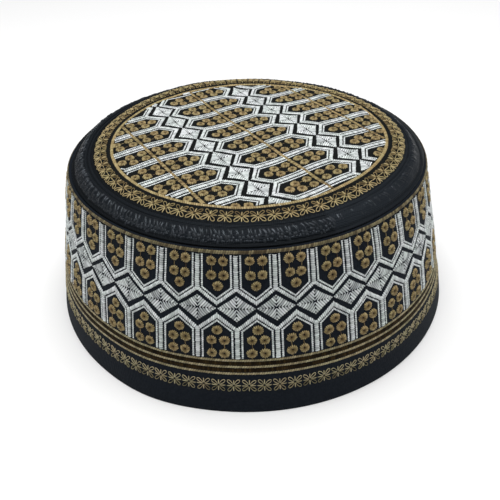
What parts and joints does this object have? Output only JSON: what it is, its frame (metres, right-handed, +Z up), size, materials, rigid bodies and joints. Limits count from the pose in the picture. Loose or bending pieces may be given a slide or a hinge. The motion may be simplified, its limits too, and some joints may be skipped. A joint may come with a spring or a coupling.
{
  "type": "embroidered kufi cap",
  "caption": "Round brimless cap with a flat embroidered top, a padded black shoulder roll and a tapered side wall with diamond and eyelet embroidery, worn on the head.",
  "frame": {"origin": "middle of the bottom edge, on the plane the cap rests on", "axes": "+Z up along the cap's axis, -Y towards the side the picture shows"},
  "size_m": [0.1898, 0.1898, 0.0753],
  "materials": {
    "wall_cloth": "matte navy-black cloth",
    "shoulder_cloth": "glossy black stitched cloth",
    "crown_cloth": "matte black cloth",
    "gold_thread": "satin gold embroidery thread",
    "white_thread": "satin white embroidery thread"
  },
  "bodies": {
    "root": {"side_wall": "wall_cloth", "shoulder_roll": "shoulder_cloth", "crown_panel": "crown_cloth"}
  },
  "joints": []
}
